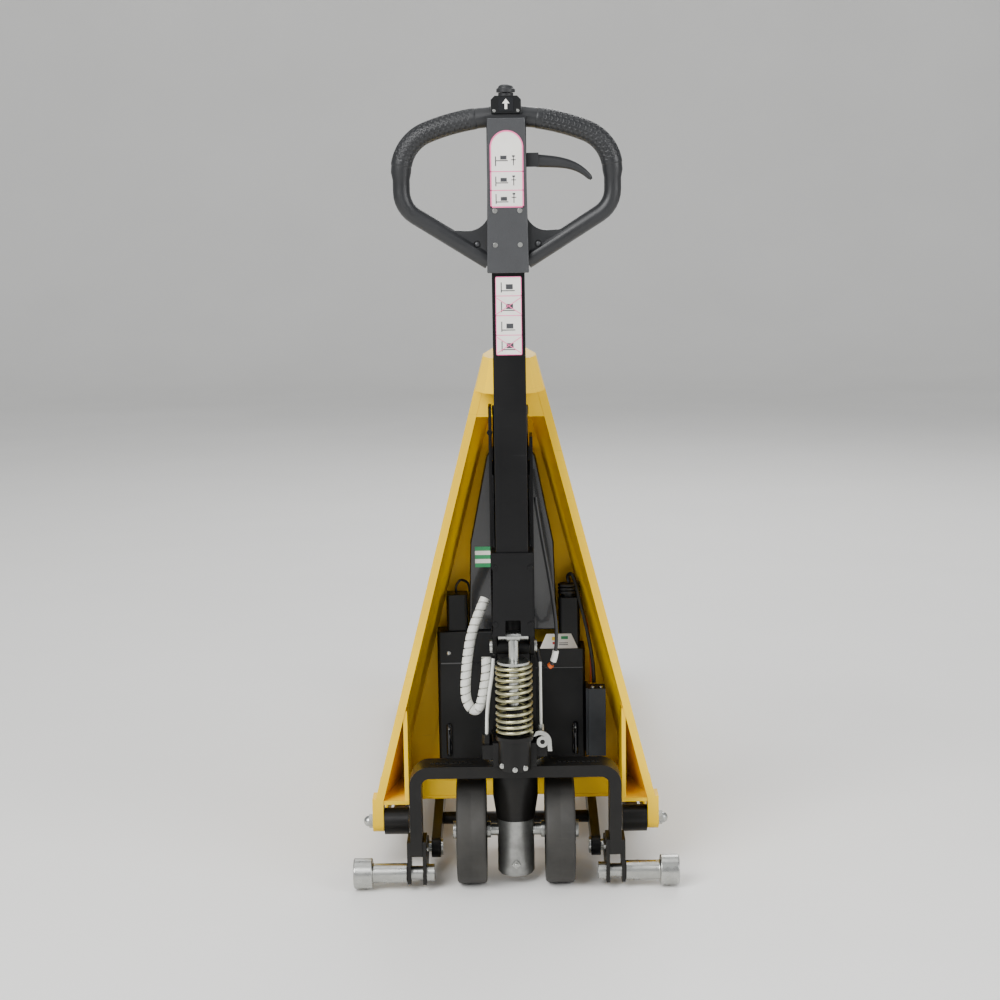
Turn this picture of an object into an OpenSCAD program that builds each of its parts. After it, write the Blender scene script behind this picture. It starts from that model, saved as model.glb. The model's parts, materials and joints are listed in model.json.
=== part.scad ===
// Electric high-lift pallet truck: a scissor truck that is steered by hand and lifted by a telescopic ram.
// Millimetres. +X is to the operator's right, +Y runs from the operator to the fork tips, +Z is up.
// The origin is on the floor at the middle of the truck's length and width.

/* [Forks and lift] */
// Length of the forks
fork_length = 1150; // [950:10:1400]
// Width across both forks
fork_span = 460; // [450:5:560]
// Width of one fork
fork_width = 150; // [145:1:160]
// Wall of the fork channel
fork_wall = 6; // [5:1:8]
// Depth of the fork channel
fork_depth = 50; // [42:1:60]
// Length of the narrowing fork tip
tip_length = 110; // [80:5:150]
// Height that the forks rise
lift_height = 690; // [300:10:720]

/* [Scissor arms] */
// Length of each arm between its end pivots
arm_length = 1055; // [850:5:1250]
// Height of the lower front pivot above the floor
low_pivot_z = 40; // [38:1:44]
// Height of the upper front pivot above the floor
high_pivot_z = 88; // [82:1:94]
// Distance of the front pivots behind the steering axis
pivot_back = 60; // [58:1:66]
// Thickness of the inner arms
inner_arm_t = 16; // [12:1:18]
// Thickness of the outer arms
outer_arm_t = 20; // [16:1:22]
// Depth of an arm at its middle
arm_depth = 40; // [34:1:44]
// Diameter of the pivot pins
pin_d = 20; // [16:1:22]
// Diameter of the load wheels
load_wheel_d = 80; // [74:1:80]
// Width of the load wheels
load_wheel_w = 38; // [30:1:38]

/* [Steering wheels and pump] */
// Diameter of the steering wheels
wheel_d = 180; // [160:1:184]
// Width of the steering wheels
wheel_w = 50; // [40:1:54]
// Distance between the inner faces of the steering wheels
wheel_gap = 99; // [96:1:104]
// Diameter of the axle block between the wheels
block_d = 62; // [56:1:66]
// Diameter of the barrel that turns in the yoke
barrel_d = 76; // [70:1:84]
// Diameter of the lift cylinder
cylinder_d = 58; // [54:1:60]
// Height of the top of the lift cylinder
cylinder_top = 815; // [700:5:825]
// Diameter of the ram
ram_d = 32; // [24:1:34]
// Outer diameter of the pump spring
spring_d = 62; // [52:1:64]
// Diameter of the spring wire
wire_d = 6; // [3:0.1:6.5]
// Number of turns of the pump spring
spring_turns = 11; // [7:1:13]

/* [Handle] */
// Distance of the handle in front of the steering axis
handle_offset = 95; // [92:1:110]
// Width of the handle shaft
shaft_w = 52; // [44:1:54]
// Depth of the handle shaft
shaft_d = 32; // [26:1:34]
// Wall of the handle shaft
shaft_wall = 3; // [2:0.5:4]
// Height of the top of the handle loop's centre line
loop_top = 1282; // [1200:2:1400]
// Half the width of the handle loop's centre line
loop_half = 166; // [150:1:175]
// Diameter of the loop's tube
loop_d = 27; // [22:1:30]
// Diameter of the thicker grips on top of the loop
grip_d = 32; // [26:1:34]

/* [Frame] */
// Height of the top of the frame's crown
frame_top = 897; // [890:1:920]
// Half the width of the crown at its top
crown_half = 43.5; // [40:0.5:50]
// Half the width of the frame at its feet
foot_half = 241; // [236:1:246]
// Depth of the frame from front to back
frame_depth = 145; // [140:1:160]
// Width of the frame's front edge
flange_w = 14; // [10:1:18]
// Thickness of the folded frame plate
plate_t = 6; // [5:1:8]

/* [Yoke] */
// Half the width across the yoke's legs
yoke_half = 177; // [176:1:180]
// Thickness of the yoke's bar
yoke_t = 20; // [16:1:20]
// Height of the yoke's top face
yoke_top = 218; // [214:1:226]
// Distance of each foot's end from the middle
foot_reach = 274; // [262:1:290]
// Diameter of the stabiliser feet
foot_d = 51; // [40:1:56]

/* [Hidden] */
$fn = 48;

// Clearances
fit = 0.05;          // running fit, on the radius
gap = 0.3;           // between faces that pass each other
YELLOW = "#e8bd20";
BLACK = "#1e2021";
STEEL = "#b9bbbc";

// Scissor arms
roller_r = 13;
roller_w = 15;
fork_top = high_pivot_z + roller_r + 1 + fork_wall;
fork_y = 135;                                  // front end of the forks
rest_angle = asin((high_pivot_z - low_pivot_z) / arm_length);
arm_rear_y = pivot_back + arm_length * cos(rest_angle);
fork_tip = fork_y + fork_length;
flange_in = fork_span / 2 - fork_width + fork_wall;   // inner face of the fork's inner wall
roller_x = max(flange_in + 2, 113);            // clear of the steering wheels' sweep
inner_x = roller_x + roller_w + 2;             // near face of the inner arm
load_x = inner_x + inner_arm_t + 4;            // near face of the load wheel
outer_x = load_x + load_wheel_w + 4;           // near face of the outer arm
pin_r = pin_d / 2;
arm_end_r = 12;
eye_r = 18;
boss_r = 23;
tie_r = 11;
lug_x = outer_x + outer_arm_t + 15;            // inner face of the frame's lug
boss_x = outer_x - 8;
lug_t = 19;

// Steering unit
axle_z = wheel_d / 2;
axle_r = 10;
block_bottom = 19.5;
block_top = 112;
cone_top = 150;
barrel_r = barrel_d / 2;
washer_t = 4;
pump_z = yoke_top + washer_t + gap;
pump_h = 40;
pump_top = pump_z + pump_h;
pump_y = -84;                                  // hand pump's axis
column_r = 14;
seat_top = 280;
cap_bottom = 401;
cap_t = 4;
rod_r = 8;
crosshead_z = 446;
cross_r = 6.5;
pump_stroke = 44;
pivot_y = -44;                                 // handle's pivot
pivot_z = 420;
sleeve_r = ram_d / 2 + 6;
gland_r = cylinder_d / 2 + 6;
gland_h = 15;
channel_x = 31;
channel_t = 5;
channel_half = 25;
channel_step = 766;

// Handle
handle_y = -handle_offset;
shaft_front = handle_y - shaft_d / 2;
base_bottom = crosshead_z + cross_r + gap;
base_top = 590;
base_half = 34;
cheek_t = 7;
base_front = shaft_front - 4;
base_back = -62;
shaft_bottom = 500;
head_half = 31;
head_bottom = loop_top - 243;
head_back = handle_y + 20;
head_front = handle_y - 19;
cover_t = 6;
cover_front = head_front - cover_t;
screw_proud = 1.2;
button_r = 15;
box_top = loop_top + 31;
box_half = 23.5;
button_gap = 5;
button_h = 13;
button_stem_r = 7;
lever_z = loop_top - 70;
lever_x = 44;

// Loop: a shallow arch, a corner, a straight side, a corner and a straight lower arm
arch_r = 337;
arch_a = 21.7;
arch_x = arch_r * sin(arch_a);
arch_z = loop_top - arch_r * (1 - cos(arch_a));
corner_r = (loop_half - arch_x) / (1 - sin(arch_a));
side_top = arch_z - corner_r * cos(arch_a);
low_corner_r = 45;
low_a = 58;
side_bottom = loop_top - 115;
low_x = loop_half - low_corner_r * (1 - cos(low_a));
low_z = side_bottom - low_corner_r * sin(low_a);
low_end_x = 29;
low_end_z = low_z - (low_x - low_end_x) * tan(90 - low_a);

// Frame
frame_y = 45;
frame_foot = 127;
crown_z = 840;
flare = (foot_half - crown_half) / (frame_top - frame_foot);
function half_w(z) = crown_half + flare * (frame_top - z);
web_in = 34;
back_flange = 44;
floor_z = 146;
box_y = 124;                                   // front of the boxes on the frame's floor
frame_back = frame_y + frame_depth;
panel_t = 4;
rib_x = 183;
rib_top = 289;
brace_z = 790;
brace_h = 45;

// Yoke
yoke_y = -60;
yoke_depth = 55;
yoke_leg_bottom = 63;
corner_out = 34;
foot_y = -40;
foot_z = 29;
foot_spindle_r = 11.5;
clevis_t = 6;
hub_r = 58;

// Where the steering axis stands
front_y = cover_front - screw_proud;
axis_y = -(fork_tip + front_y) / 2;

// Routes of the hoses and cables, held at both ends
sleeve_route = [[-45.5, -12, 494], [-54, -19, 476], [-68, -26, 440], [-76, -30, 400], [-80, -31, 360],
    [-80, -31, 332], [-74, -31, 314], [-64, -31, 308], [-56, -31, 318], [-50, -30, 342], [-46, -26, 368],
    [-45, -20, 396]];
line_route = [[-33.5, -28.3, 395], [-36, -35, 370], [-41, -42, 340], [-45, -46, 305], [-46, -45, 270.6]];
cable_route = [[39.4, -18, 664], [42, -24, 645], [49, -31, 600], [58, -38, 548], [66, -42, 497], [71, -44, 450],
    [70, -44, 412], [63, -43, 388], [52, -38, 382], [43, -30, 392], [39.4, -20, 408]];

// ---- helpers ----
module at_axis() translate([0, axis_y, 0]) children();
module rod_x(r, x0, x1) translate([x0, 0, 0]) rotate([0, 90, 0]) cylinder(r = r, h = x1 - x0);
module at(y, z) translate([0, y, z]) children();
module both() { children(); mirror([1, 0, 0]) children(); }
module side_of(s) if (s < 0) mirror([1, 0, 0]) children(); else children();
// A plate cut to an outline in the YZ plane, from x0 outwards
module plate_yz(x0, t) translate([x0, 0, 0]) rotate([90, 0, 90]) linear_extrude(t) children();
// A plate cut to an outline in the XZ plane, from y0 backwards
module plate_xz(y0, t) translate([0, y0 + t, 0]) rotate([90, 0, 0]) linear_extrude(t) children();
function arc(cx, cy, r, a0, a1, n = 10) =
    [for (i = [0 : n]) [cx + r * cos(a0 + (a1 - a0) * i / n), cy + r * sin(a0 + (a1 - a0) * i / n)]];
function mirrored(pts) = [for (i = [len(pts) - 1 : -1 : 0]) [-pts[i][0], pts[i][1]]];

// A prism whose lower and upper outlines differ: the same number of points, listed anticlockwise from above
module loft(low, high, z0, z1) {
    n = len(low);
    polyhedron(
        points = concat([for (p = low) [p[0], p[1], z0]], [for (p = high) [p[0], p[1], z1]]),
        faces = concat([[for (i = [0 : n - 1]) i]], [[for (i = [n - 1 : -1 : 0]) n + i]],
            [for (i = [0 : n - 1]) [i, n + i, n + (i + 1) % n, (i + 1) % n]]));
}

// A smooth curve through a route's points, and a round tube swept along it
function spline(p, i, t) = let (n = len(p) - 1, a = p[max(i - 1, 0)], b = p[i], c = p[min(i + 1, n)],
    d = p[min(i + 2, n)]) 0.5 * (2 * b + (c - a) * t + (2 * a - 5 * b + 4 * c - d) * t * t
    + (3 * b - a - 3 * c + d) * t * t * t);
function smooth(p, steps) = concat([for (i = [0 : len(p) - 2], k = [0 : steps - 1]) spline(p, i, k / steps)],
    [p[len(p) - 1]]);
function unit(v) = v / norm(v);
function heading(c, i) = unit(c[min(i + 1, len(c) - 1)] - c[max(i - 1, 0)]);
module swept(c, r, sides) {
    n = len(c);
    rings = [for (i = [0 : n - 1]) let (t = heading(c, i), u = unit(cross(t, [0, 1, 0])), v = cross(t, u))
        for (k = [0 : sides - 1]) c[i] + r[i] * (cos(360 * k / sides) * u + sin(360 * k / sides) * v)];
    polyhedron(points = rings, faces = concat(
        [[for (k = [0 : sides - 1]) k]], [[for (k = [sides - 1 : -1 : 0]) (n - 1) * sides + k]],
        [for (i = [0 : n - 2], k = [0 : sides - 1]) let (m = (k + 1) % sides)
            [i * sides + k, (i + 1) * sides + k, (i + 1) * sides + m, i * sides + m]]));
}
module tube_along(route, r, sides, steps) {
    c = smooth(route, steps);
    swept(c, [for (p = c) r], sides);
}

// ---- base ----
// The yoke: a bar bent down at both ends, with a hub that the barrel turns in
module yoke() at_axis() color(BLACK) {
    in_r = corner_out - yoke_t;
    cz = yoke_top - corner_out;
    cx = yoke_half - corner_out;
    outer = concat([[yoke_half, yoke_leg_bottom]], arc(cx, cz, corner_out, 0, 90));
    inner = concat(arc(cx, cz, in_r, 90, 0), [[yoke_half - yoke_t, yoke_leg_bottom]]);
    difference() {
        union() {
            plate_xz(yoke_y, yoke_depth)
                polygon(concat(outer, mirrored(outer), mirrored(inner), inner));
            translate([0, 0, yoke_top - yoke_t]) cylinder(r = hub_r, h = yoke_t);
            both() for (i = [0 : 8]) translate([72 + 8 * i, yoke_y + 22, yoke_top - 1])
                cube([5, 9, 2.2]);
        }
        cylinder(r = barrel_r + fit, h = 400);
    }
}

module thrust_washer() at_axis() color(STEEL) translate([0, 0, yoke_top]) difference() {
    cylinder(r = barrel_r + 14, h = washer_t);
    translate([0, 0, -1]) cylinder(r = barrel_r + fit, h = washer_t + 2);
}

// Plates either side of each leg: the inner ones reach back to the arms' lower pivot
module clevis_plates() at_axis() color(BLACK) both() {
    difference() {
        plate_yz(yoke_half - yoke_t - clevis_t, clevis_t)
            polygon([[-60, 14], [-58, 88], [-6, 88], [24, 62], [pivot_back + 4, low_pivot_z + 20],
                [pivot_back + 18, low_pivot_z + 6], [pivot_back + 18, low_pivot_z - 8],
                [pivot_back + 6, low_pivot_z - 20], [24, 14]]);
        at(foot_y, foot_z) rod_x(foot_spindle_r + fit, 0, 300);
        at(pivot_back, low_pivot_z) rod_x(pin_r + fit, 0, 300);
    }
    difference() {
        plate_yz(yoke_half, clevis_t)
            polygon([[-60, 16], [-60, 88], [-6, 88], [-6, 34], [-22, 14], [-54, 12]]);
        at(foot_y, foot_z) rod_x(foot_spindle_r + fit, 0, 300);
    }
}

// Stabiliser feet: a turned bar with a larger end, on a spindle through the clevis
module foot_bars() at_axis() color(STEEL) both() at(foot_y, foot_z) {
    rod_x(foot_spindle_r, yoke_half - yoke_t - clevis_t - 4, yoke_half + clevis_t + 1);
    rod_x(16.5, yoke_half + clevis_t, foot_reach - 31);
    rod_x(foot_d / 2, foot_reach - 32, foot_reach);
}

module base_fasteners() at_axis() color(STEEL) {
    both() at(foot_y, foot_z) difference() {
        rod_x(14.5, yoke_half - yoke_t - clevis_t - 13, yoke_half - yoke_t - clevis_t);
        rod_x(foot_spindle_r + fit, 0, 300);
    }
    both() plate_yz(yoke_half - yoke_t - clevis_t - 3, 3) translate([-28, 66]) circle(r = 5);
    for (a = [-126, -106, -90, -74, -54]) rotate([0, 0, a]) translate([hub_r - 2.5, 0, yoke_top])
        cylinder(r = 3.2, h = 3);
}

module arm_pivot_pins() at_axis() color(STEEL) both() at(pivot_back, low_pivot_z) {
    rod_x(pin_r, inner_x - gap - 1, yoke_half - yoke_t + 1);
    rod_x(pin_r + 5, yoke_half - yoke_t, yoke_half - yoke_t + 6);
    rod_x(pin_r + 4, inner_x - gap - 4, inner_x - gap);
}

// ---- steering unit ----
module axle_block() at_axis() color(STEEL) difference() {
    union() {
        translate([0, 0, block_bottom]) cylinder(d = block_d, h = block_top - block_bottom);
        translate([0, 0, block_bottom - 4]) cylinder(d = block_d - 6, h = 5);
        at(-block_d / 2 + 2, 38) rotate([90, 0, 0]) cylinder(r = 7, h = 5, $fn = 6);
    }
    at(0, axle_z) rod_x(axle_r + fit, -100, 100);
}

module steer_axle() at_axis() color(STEEL) at(0, axle_z) {
    end = wheel_gap / 2 + wheel_w + 4;
    rod_x(axle_r, -end, end);
    both() {
        rod_x(axle_r + 4, wheel_gap / 2 - 7, wheel_gap / 2 - gap);
        rod_x(axle_r + 5, end - 3, end + 3);
    }
}

module lower_barrel() at_axis() color(BLACK) {
    translate([0, 0, block_top]) cylinder(d1 = block_d + 2, r2 = barrel_r, h = cone_top - block_top);
    translate([0, 0, cone_top]) cylinder(r = barrel_r, h = pump_z - cone_top);
}

// Valve block, with the hand pump's column in front and the ports at its sides
module pump_block() at_axis() color(BLACK) difference() {
    union() {
        translate([-36, pump_y + 10, pump_z]) cube([72, 34 - pump_y - 10, pump_h]);
        translate([0, 0, pump_z]) cylinder(r = 40, h = pump_h);
        translate([0, pump_y, pump_z]) cylinder(r = 27, h = seat_top - 6 - pump_z);
        translate([0, pump_y, seat_top - 7]) cylinder(d = spring_d, h = 7);
        translate([0, pump_y, pump_z]) cylinder(r = column_r, h = 330 - pump_z);
        translate([34, -58, pump_z + 12]) cube([20, 26, 38]);
        translate([-54, -58, pump_z + 8]) cube([20, 26, 24]);
        translate([-46, -45, pump_z + 30]) cylinder(r = 8, h = 18, $fn = 6);
        at(-57, pump_z + 39) translate([46, 0, 0]) rotate([90, 0, 0]) cylinder(r = 4, h = 9);
    }
    translate([0, pump_y, pump_z + 8]) cylinder(r = rod_r + fit, h = 200);
}

module pump_spring() at_axis() color("#c9cbbb") translate([0, pump_y, 0]) {
    steps = 16;
    sides = 6;
    r = spring_d / 2 - wire_d / 2;
    z0 = seat_top + wire_d / 2 + 0.1;
    rise = cap_bottom - seat_top - wire_d - 0.2;
    n = spring_turns * steps;
    rings = [for (i = [0 : n]) let (a = 360 * i / steps, c = [r * cos(a), r * sin(a), z0 + rise * i / n])
        for (k = [0 : sides - 1]) let (b = 360 * k / sides)
            c + wire_d / 2 * [cos(b) * cos(a), cos(b) * sin(a), sin(b)]];
    polyhedron(points = rings, faces = concat(
        [[for (k = [sides - 1 : -1 : 0]) k]], [[for (k = [0 : sides - 1]) n * sides + k]],
        [for (i = [0 : n - 1], k = [0 : sides - 1]) let (m = (k + 1) % sides)
            [i * sides + k, i * sides + m, (i + 1) * sides + m, (i + 1) * sides + k]]));
}

module lift_cylinder() at_axis() color(BLACK) difference() {
    union() {
        translate([0, 0, pump_top]) cylinder(d = cylinder_d, h = cylinder_top - pump_top);
        translate([0, 0, cylinder_top - gland_h]) cylinder(r = gland_r - 5, h = gland_h);
    }
    translate([0, 0, pump_top + 6]) cylinder(r = sleeve_r + fit, h = 1000);
}

// Flat guards along both sides of the cylinder, held by three bands
module mast_channel() at_axis() color(BLACK) {
    translate([-channel_x - channel_t, -channel_half, pump_top])
        cube([channel_t, 2 * channel_half, cylinder_top - pump_top]);
    translate([channel_x, -channel_half, pump_top])
        cube([channel_t, 2 * channel_half, channel_step - pump_top]);
    for (z = [300, 520, 700]) translate([0, 0, z]) difference() {
        translate([-channel_x, -6, 0]) cube([2 * channel_x, 12, 24]);
        translate([0, 0, -1]) cylinder(r = cylinder_d / 2 + fit, h = 40);
    }
    translate([-channel_x - 3, -channel_half, channel_step + 8]) rotate([90, 0, 0])
        cylinder(r = 5, h = 4, $fn = 6);
}

// Lug on the cylinder that the handle pivots on
module pump_bracket() at_axis() color(BLACK) difference() {
    union() {
        at(pivot_y, pivot_z) rod_x(14, -base_half + cheek_t + 0.5, base_half - cheek_t - 0.5);
        translate([-base_half + cheek_t + 0.5, pivot_y - 7, 372])
            cube([2 * (base_half - cheek_t) - 1, 8 - pivot_y, 58]);
    }
    cylinder(r = cylinder_d / 2 + fit, h = 900);
    at(pivot_y, pivot_z) rod_x(8 + fit, -60, 60);
}

module handle_pin() at_axis() color(STEEL) at(pivot_y, pivot_z) {
    rod_x(8, -base_half - 4, base_half + 4);
    both() rod_x(11, base_half + gap, base_half + 5);
}

module hose_sleeve() at_axis() color("white") tube_along(sleeve_route, 8.5, 12, 2);

module hydraulic_lines() at_axis() {
    color("white") tube_along(line_route, 3, 8, 2);
    color(STEEL) translate([44, -45, pump_z + 50]) cylinder(r = 2.4, h = 120);
    color(STEEL) translate([44, -45, pump_z + 50]) cylinder(r = 4.5, h = 14);
}

module control_cable() at_axis() color(BLACK) tube_along(cable_route, 3, 8, 2);

// Second stage of the telescopic ram
module cylinder_sleeve() at_axis() color(STEEL) difference() {
    union() {
        translate([0, 0, pump_top + 10]) cylinder(r = sleeve_r, h = cylinder_top - pump_top - 8);
        translate([0, 0, cylinder_top + gap]) cylinder(r = sleeve_r + 4, h = 8);
    }
    translate([0, 0, pump_top + 14]) cylinder(r = ram_d / 2 + fit, h = 1000);
}

// A solid tyre with rounded shoulders on a dished hub
module wheel_tyre(r, w, rim, shoulder) rotate([0, 90, 0]) rotate_extrude()
    polygon(concat([[rim, -w / 2]], arc(r - shoulder, -w / 2 + shoulder, shoulder, -90, 0, 6),
        arc(r - shoulder, w / 2 - shoulder, shoulder, 0, 90, 6), [[rim, w / 2]]));
module steer_tyre() color("#151515") translate([(wheel_gap + wheel_w) / 2, 0, axle_z])
    wheel_tyre(wheel_d / 2, wheel_w, wheel_d / 2 - 26, 6);
module steer_hub() color(BLACK) translate([(wheel_gap + wheel_w) / 2, 0, axle_z]) difference() {
    rim = wheel_d / 2 - 26;
    rod_x(rim, -wheel_w / 2 + 2, wheel_w / 2 - 2);
    for (s = [-1, 1]) translate([s * wheel_w / 2, 0, 0]) rotate([0, -90 * s, 0]) difference() {
        translate([0, 0, -1]) cylinder(r = rim - 8, h = 9);
        translate([0, 0, -2]) cylinder(r = 22, h = 20);
    }
    rod_x(axle_r + fit, -100, 100);
}
module steer_tyre_left() at_axis() side_of(-1) steer_tyre();
module steer_hub_left() at_axis() side_of(-1) steer_hub();
module steer_tyre_right() at_axis() side_of(1) steer_tyre();
module steer_hub_right() at_axis() side_of(1) steer_hub();

// ---- handle ----
// A socket for the shaft, with cheeks that reach back to the pivot; its underside presses the crosshead
module handle_base() at_axis() color(BLACK) difference() {
    union() {
        translate([-base_half, base_front, base_bottom])
            cube([2 * base_half, base_back - base_front, base_top - base_bottom]);
        both() plate_yz(base_half - cheek_t, cheek_t)
            polygon(concat([[base_back - 10, base_bottom], [base_back, 520]],
                arc(pivot_y, pivot_z, 15, 30, -150)));
        both() for (z = [base_top - 24, base_bottom + 20]) translate([base_half - 5, base_front + 1, z])
            rotate([90, 0, 0]) cylinder(r = 4.5, h = 4, $fn = 6);
    }
    translate([-shaft_w / 2 - fit, handle_y - shaft_d / 2 - fit, shaft_bottom])
        cube([shaft_w + 2 * fit, shaft_d + 2 * fit, 200]);
    translate([-12.5, base_front - 5, 400]) cube([25, 80, base_bottom - 400 + 26]);
    at(pivot_y, pivot_z) rod_x(8 + fit, -60, 60);
}

module handle_shaft() at_axis() color(BLACK) difference() {
    translate([-shaft_w / 2, handle_y - shaft_d / 2, shaft_bottom])
        cube([shaft_w, shaft_d, loop_top - 190 - shaft_bottom]);
    translate([-shaft_w / 2 + shaft_wall, handle_y - shaft_d / 2 + shaft_wall, shaft_bottom - 1])
        cube([shaft_w - 2 * shaft_wall, shaft_d - 2 * shaft_wall, 2000]);
}

// Centre line of half the loop, from the arch's middle to the end of the lower arm
loop_line = concat(
    arc(0, loop_top - arch_r, arch_r, 90, 90 - arch_a, 6),
    arc(loop_half - corner_r, side_top, corner_r, 80 - arch_a, 0, 6), [[loop_half, side_top - 12]],
    arc(loop_half - low_corner_r, side_bottom, low_corner_r, 0, -low_a, 6), [[low_end_x, low_end_z]]);
loop_radii = [for (i = [0 : len(loop_line) - 1]) (i < 14 ? grip_d : loop_d) / 2];

// The loop with the moulding in its middle that takes the shaft
module handle_loop() at_axis() color(BLACK) difference() {
    n = len(loop_line);
    union() {
        swept([for (i = [1 - n : n - 1]) let (q = loop_line[abs(i)]) [(i < 0 ? -1 : 1) * q[0], handle_y, q[1]]],
            [for (i = [1 - n : n - 1]) loop_radii[abs(i)]], 18);
        both() plate_xz(handle_y - 8, 16) polygon(concat([[head_half - 2, low_end_z], [96, low_end_z + 40],
            [82, low_end_z + 49]], arc(62, low_end_z + 82, 34, -90, -150, 6),
            [[head_half - 2, low_end_z + 76]]));
        translate([-head_half, head_front, head_bottom])
            cube([2 * head_half, head_back - head_front, loop_top - head_bottom]);
    }
    translate([-shaft_w / 2 - fit, handle_y - shaft_d / 2 - fit, head_bottom - 1])
        cube([shaft_w + 2 * fit, shaft_d + 2 * fit, loop_top - 190 - head_bottom + 1.2]);
    both() translate([48, handle_y - 4, low_end_z + 27]) rotate([90, 0, 0]) cylinder(r = 6, h = 10);
    translate([-box_half - gap, head_front - 20, loop_top + 4]) cube([2 * box_half + 2 * gap, 60, 40]);
}

module head_cover() at_axis() color(BLACK) plate_xz(cover_front, cover_t - fit)
    polygon([[-33, head_bottom], [33, head_bottom], [29.5, loop_top - 3], [-29.5, loop_top - 3]]);

module handle_screws() at_axis() color(STEEL) {
    for (x = [-19.5, 19.5], z = [loop_top - 146, loop_top - 199])
        translate([x, cover_front, z]) rotate([90, 0, 0]) cylinder(r = 3.8, h = screw_proud);
    for (x = [-18.5, 18.5]) translate([x, handle_y - 21, loop_top + 8]) rotate([90, 0, 0])
        cylinder(r = 2.4, h = 1);
}

// Housing for the button, seated on the flat in the middle of the loop
module switch_box() at_axis() color(BLACK) difference() {
    plate_xz(handle_y - 21, 40) polygon([[-box_half, loop_top + 4 + fit], [box_half, loop_top + 4 + fit],
        [box_half, box_top - 6], [box_half - 6, box_top], [6 - box_half, box_top], [-box_half, box_top - 6]]);
    translate([0, handle_y, loop_top + 12]) cylinder(r = button_stem_r + fit, h = 100);
    translate([-10, handle_y - 22, loop_top + 13]) cube([20, 2, 13]);
}

// Stickers: one with a rounded top on the cover, one on the shaft
module labels() at_axis() color("white") {
    z0 = loop_top - 141;
    plate_xz(cover_front - 0.5, 0.5)
        polygon(concat([[-26, z0], [26, z0]], arc(0, z0 + 93, 26, 0, 180, 16)));
    translate([-20.5, shaft_front - 0.5, loop_top - 373]) cube([41, 0.5, 124]);
}

module lever_mount() at_axis() color(BLACK) {
    difference() {
        translate([head_half, handle_y - 10, lever_z - 9]) cube([19, 20, 22]);
        translate([head_half + 4, handle_y - 4, lever_z - 20]) cube([30, 8, 60]);
    }
    translate([lever_x, handle_y + 9, lever_z]) rotate([90, 0, 0]) cylinder(r = 3, h = 18);
}

module lift_button() at_axis() color(BLACK) translate([0, handle_y, 0]) {
    translate([0, 0, box_top + button_gap]) cylinder(r1 = button_r, r2 = button_r - 1, h = 5);
    translate([0, 0, box_top + button_gap + 5]) cylinder(r1 = button_r - 1, r2 = 9, h = button_h - 5);
    translate([0, 0, box_top - 9]) cylinder(r = button_stem_r, h = 10 + button_gap);
}

module release_lever() at_axis() color(BLACK) difference() {
    union() {
        plate_xz(handle_y - 4 + gap, 8 - 2 * gap) translate([lever_x - 6, lever_z - 6]) square([16, 12]);
        plate_xz(handle_y - 7, 14) polygon(concat([[lever_x + 9, lever_z + 5]],
            [for (i = [0 : 6]) [lever_x + 56 + 36 * sin(15 * i), lever_z - 22 + 25 * cos(12 * i)]],
            [[lever_x + 93, lever_z - 31], [lever_x + 88, lever_z - 32]],
            [for (i = [6 : -1 : 0]) [lever_x + 50 + 32 * sin(14 * i), lever_z - 31 + 20 * cos(12 * i)]],
            [[lever_x + 9, lever_z - 11]]));
    }
    translate([lever_x, handle_y + 20, lever_z]) rotate([90, 0, 0]) cylinder(r = 3 + fit, h = 40);
}

// Pump rod with the spring's cap, its eye and the cross pin that the handle presses
module pump_piston() at_axis() color(STEEL) translate([0, pump_y, 0]) {
    translate([0, 0, seat_top - 2]) cylinder(r = rod_r, h = crosshead_z - seat_top - 4);
    translate([0, 0, cap_bottom]) cylinder(r = spring_d / 2 - 4, h = cap_t);
    at(0, crosshead_z) rod_x(9, -10.5, 10.5);
    at(0, crosshead_z) rod_x(cross_r, -24.5, 24.5);
}

// Small cranked lever on the lowering valve
module valve_lever() at_axis() color(STEEL) translate([46, 0, pump_z + 39]) difference() {
    union() {
        plate_xz(-66, 6) polygon(concat([[-15, 9]], arc(-4, 0, 19, 110, 0, 10), [[16, -16], [9, -16]],
            arc(-4, 0, 12, 0, 120, 8)));
        at(-66, 0) rotate([-90, 0, 0]) cylinder(r = 9.5, h = 6);
    }
    rotate([90, 0, 0]) cylinder(r = 4 + fit, h = 200);
}

// ---- scissor arms: y runs from the front pivot along the arm ----
// Outline of an arm that is deeper in its middle than at its ends
module arm_outline(r0, r1) {
    h = arm_depth / 2;
    a = 200;
    polygon(concat(arc(0, 0, r0, 90, 270), [[a, -h], [arm_length - a, -h]],
        arc(arm_length, 0, r1, -90, 90), [[arm_length - a, h], [a, h]]));
}
module inner_arm() color(BLACK) at(pivot_back, low_pivot_z) rotate([rest_angle, 0, 0]) difference() {
    union() {
        plate_yz(inner_x, inner_arm_t) arm_outline(eye_r - 2, arm_end_r);
        rod_x(eye_r, inner_x, inner_x + inner_arm_t);
    }
    rod_x(pin_r + fit, 0, 400);
}
module outer_arm() color(BLACK) at(pivot_back, high_pivot_z) rotate([-rest_angle, 0, 0]) difference() {
    union() {
        plate_yz(outer_x, outer_arm_t) arm_outline(eye_r - 4, eye_r);
        rod_x(boss_r, boss_x, lug_x - 1);
    }
    rod_x(pin_r + fit, 0, 400);
    at(arm_length / 2, 0) rod_x(12 + fit, 0, 400);
    at(arm_length, 0) rod_x(pin_r + fit, 0, 400);
}
module inner_arm_left() at_axis() side_of(-1) inner_arm();
module inner_arm_right() at_axis() side_of(1) inner_arm();
module outer_arm_left() at_axis() side_of(-1) outer_arm();
module outer_arm_right() at_axis() side_of(1) outer_arm();

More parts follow.
